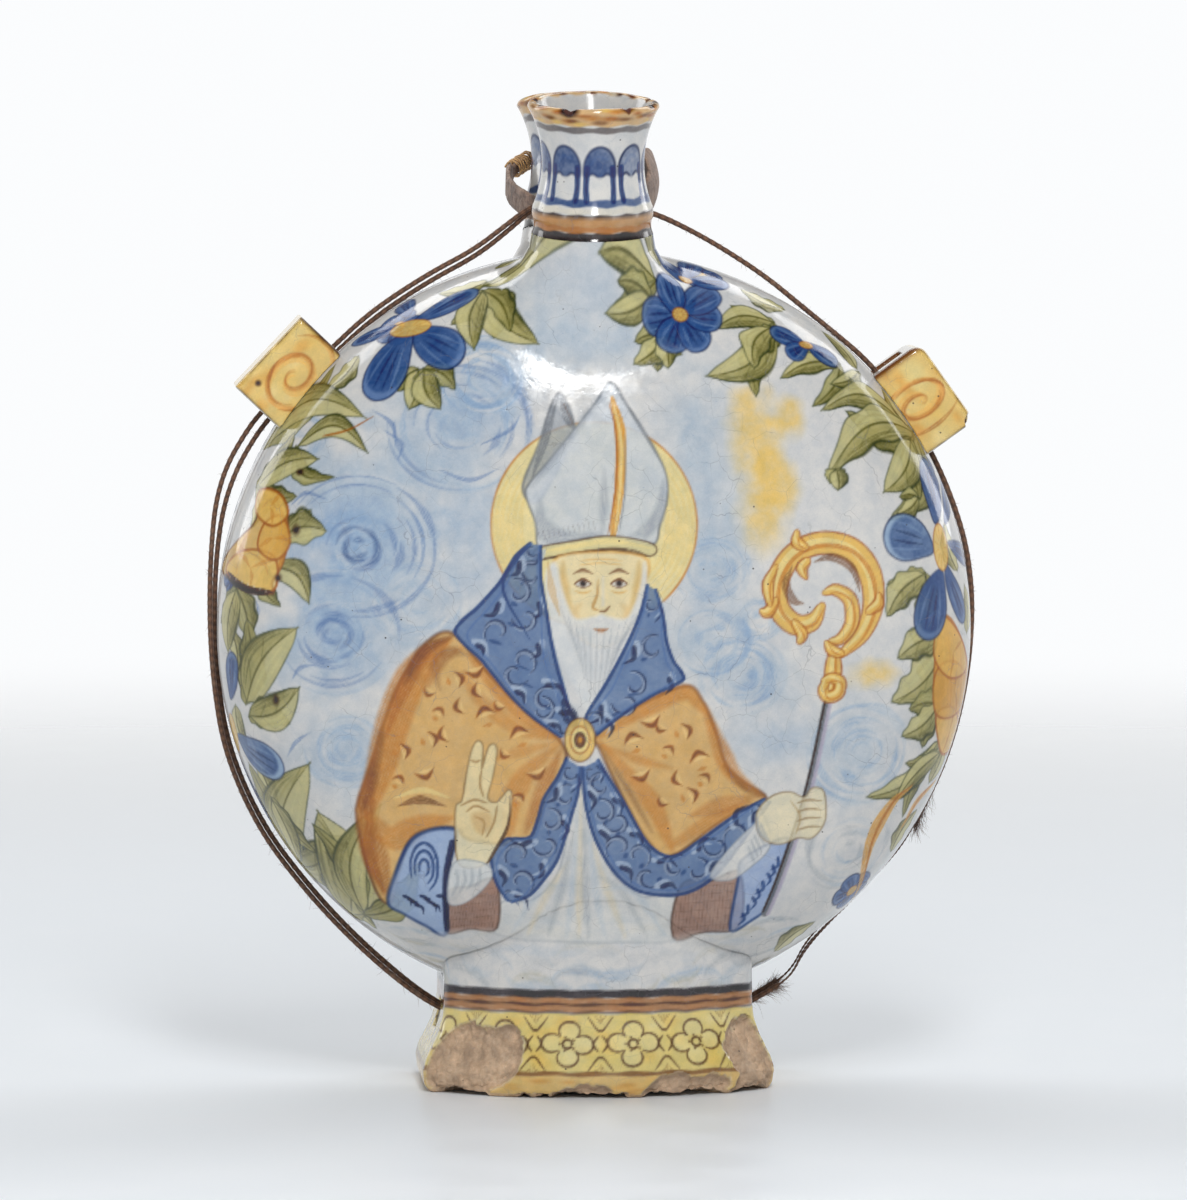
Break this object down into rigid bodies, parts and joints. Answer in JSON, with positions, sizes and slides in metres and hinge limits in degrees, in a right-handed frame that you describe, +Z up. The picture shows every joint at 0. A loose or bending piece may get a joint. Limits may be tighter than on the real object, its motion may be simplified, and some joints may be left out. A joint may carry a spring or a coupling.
{
  "type": "pilgrim flask",
  "caption": "Double pilgrim flask: two lens-shaped glazed chambers back to back on a shared foot, with leaning necks, cord lugs and a carrying cord.",
  "frame": {"origin": "on the ground under the foot, at the middle of the body's width and depth", "axes": "+Z up along the body, -Y out of the painted front, +X to the front's right"},
  "size_m": [0.2484, 0.104, 0.3201],
  "materials": {
    "painted_glaze": "glossy tin glaze painted in blue, green, yellow and orange",
    "neck_glaze": "glossy tin glaze with blue arches and an ochre lip",
    "lug_glaze": "glossy yellow glaze with orange swirls",
    "foot_glaze": "glossy yellow glaze with brown flowers, chipped to the clay",
    "brown_cord": "worn woven cord",
    "worn_leather": "dry matt leather",
    "gold_twine": "twisted twine"
  },
  "bodies": {
    "root": {"front_chamber_dome": "painted_glaze", "front_chamber_back": "painted_glaze", "rear_chamber_dome": "painted_glaze", "rear_chamber_back": "painted_glaze", "front_neck": "neck_glaze", "rear_neck": "neck_glaze", "foot": "foot_glaze", "left_lug": "lug_glaze", "right_lug": "lug_glaze", "cord_front_strand": "brown_cord", "cord_rear_strand": "brown_cord", "core_threads": "brown_cord", "leather_strap": "worn_leather", "twine_binding": "gold_twine"}
  },
  "joints": []
}
